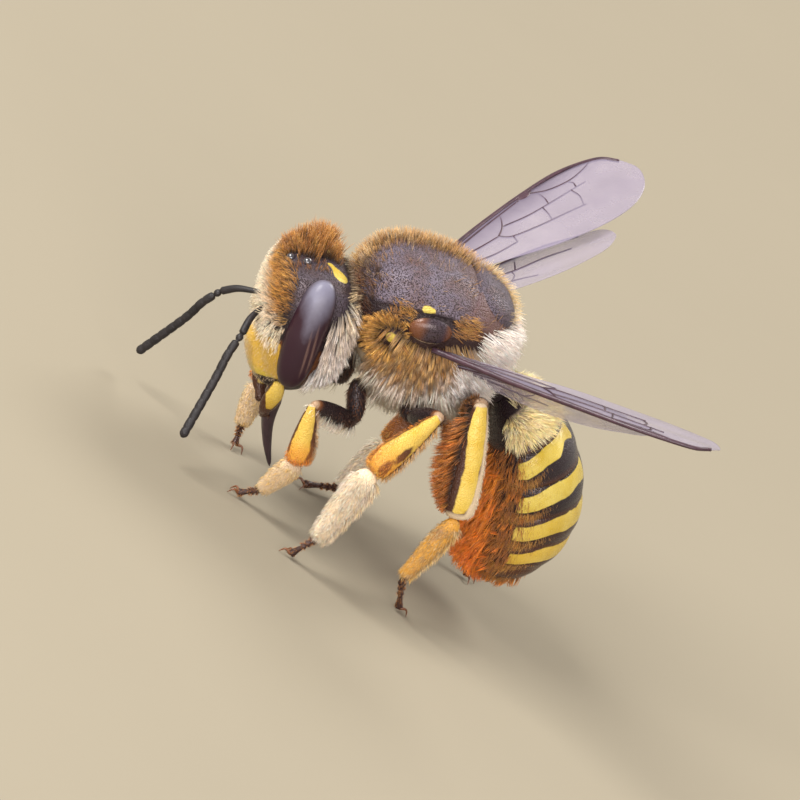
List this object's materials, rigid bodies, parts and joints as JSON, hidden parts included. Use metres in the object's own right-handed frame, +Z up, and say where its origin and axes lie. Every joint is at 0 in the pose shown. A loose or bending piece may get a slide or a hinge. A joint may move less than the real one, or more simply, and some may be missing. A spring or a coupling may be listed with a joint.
{
  "type": "wool carder bee model",
  "caption": "Life-size standing bee with furry thorax, yellow-banded abdomen, half-open smoky wings and bent feelers, for display.",
  "frame": {"origin": "on the floor under the middle of the bee's bounding box", "axes": "+X towards the tail, the head faces -X; +Y towards the bee's right side; +Z up"},
  "size_m": [0.0124, 0.0138, 0.0111],
  "materials": {
    "head_coat": "punctured dark shell under erect orange-brown and cream hair",
    "thorax_coat": "grey-black punctured back under an orange-brown fringe, straw-coloured hair on the sides",
    "dark_shell": "dark brown to black shell, satin",
    "yellow_shell": "yellow shell with brown blotches, satin",
    "banded_shell": "black shell with yellow bands, satin, orange brush beneath",
    "amber_shell": "amber to near-black shell, glossy",
    "eye": "dark maroon eye with a lavender sheen, glossy",
    "feeler": "dark grey-brown, satin",
    "pale_hair": "cream to straw-coloured hair",
    "wing_membrane": "smoky violet film with dark veins"
  },
  "bodies": {
    "root": {"head": "head_coat", "neck": "dark_shell", "waist": "dark_shell", "proboscis": "dark_shell", "eye_left": "eye", "mandible_left": "yellow_shell", "antenna_left_scape": "feeler", "antenna_left_flagellum_base": "feeler", "antenna_left_flagellum_tip": "feeler", "eye_right": "eye", "mandible_right": "yellow_shell", "antenna_right_scape": "feeler", "antenna_right_flagellum_base": "feeler", "antenna_right_flagellum_tip": "feeler", "thorax": "thorax_coat", "scutellum": "dark_shell", "abdomen_1": "pale_hair", "abdomen_2": "banded_shell", "abdomen_3": "banded_shell", "abdomen_4": "banded_shell", "abdomen_5": "banded_shell", "abdomen_6": "banded_shell", "tegula_left": "amber_shell", "forewing_left": "wing_membrane", "hindwing_left": "wing_membrane", "tegula_right": "amber_shell", "forewing_right": "wing_membrane", "hindwing_right": "wing_membrane", "leg_front_left_coxa": "dark_shell", "leg_front_left_femur": "dark_shell", "leg_front_left_tibia": "yellow_shell", "leg_front_left_basitarsus": "pale_hair", "leg_front_left_tarsus": "dark_shell", "leg_front_right_coxa": "dark_shell", "leg_front_right_femur": "dark_shell", "leg_front_right_tibia": "yellow_shell", "leg_front_right_basitarsus": "pale_hair", "leg_front_right_tarsus": "dark_shell", "leg_middle_left_coxa": "dark_shell", "leg_middle_left_femur": "dark_shell", "leg_middle_left_tibia": "yellow_shell", "leg_middle_left_basitarsus": "pale_hair", "leg_middle_left_tarsus": "dark_shell", "leg_middle_right_coxa": "dark_shell", "leg_middle_right_femur": "dark_shell", "leg_middle_right_tibia": "yellow_shell", "leg_middle_right_basitarsus": "pale_hair", "leg_middle_right_tarsus": "dark_shell", "leg_hind_left_coxa": "dark_shell", "leg_hind_left_femur": "dark_shell", "leg_hind_left_tibia": "yellow_shell", "leg_hind_left_basitarsus": "pale_hair", "leg_hind_left_tarsus": "dark_shell", "leg_hind_right_coxa": "dark_shell", "leg_hind_right_femur": "dark_shell", "leg_hind_right_tibia": "yellow_shell", "leg_hind_right_basitarsus": "pale_hair", "leg_hind_right_tarsus": "dark_shell"}
  },
  "joints": []
}
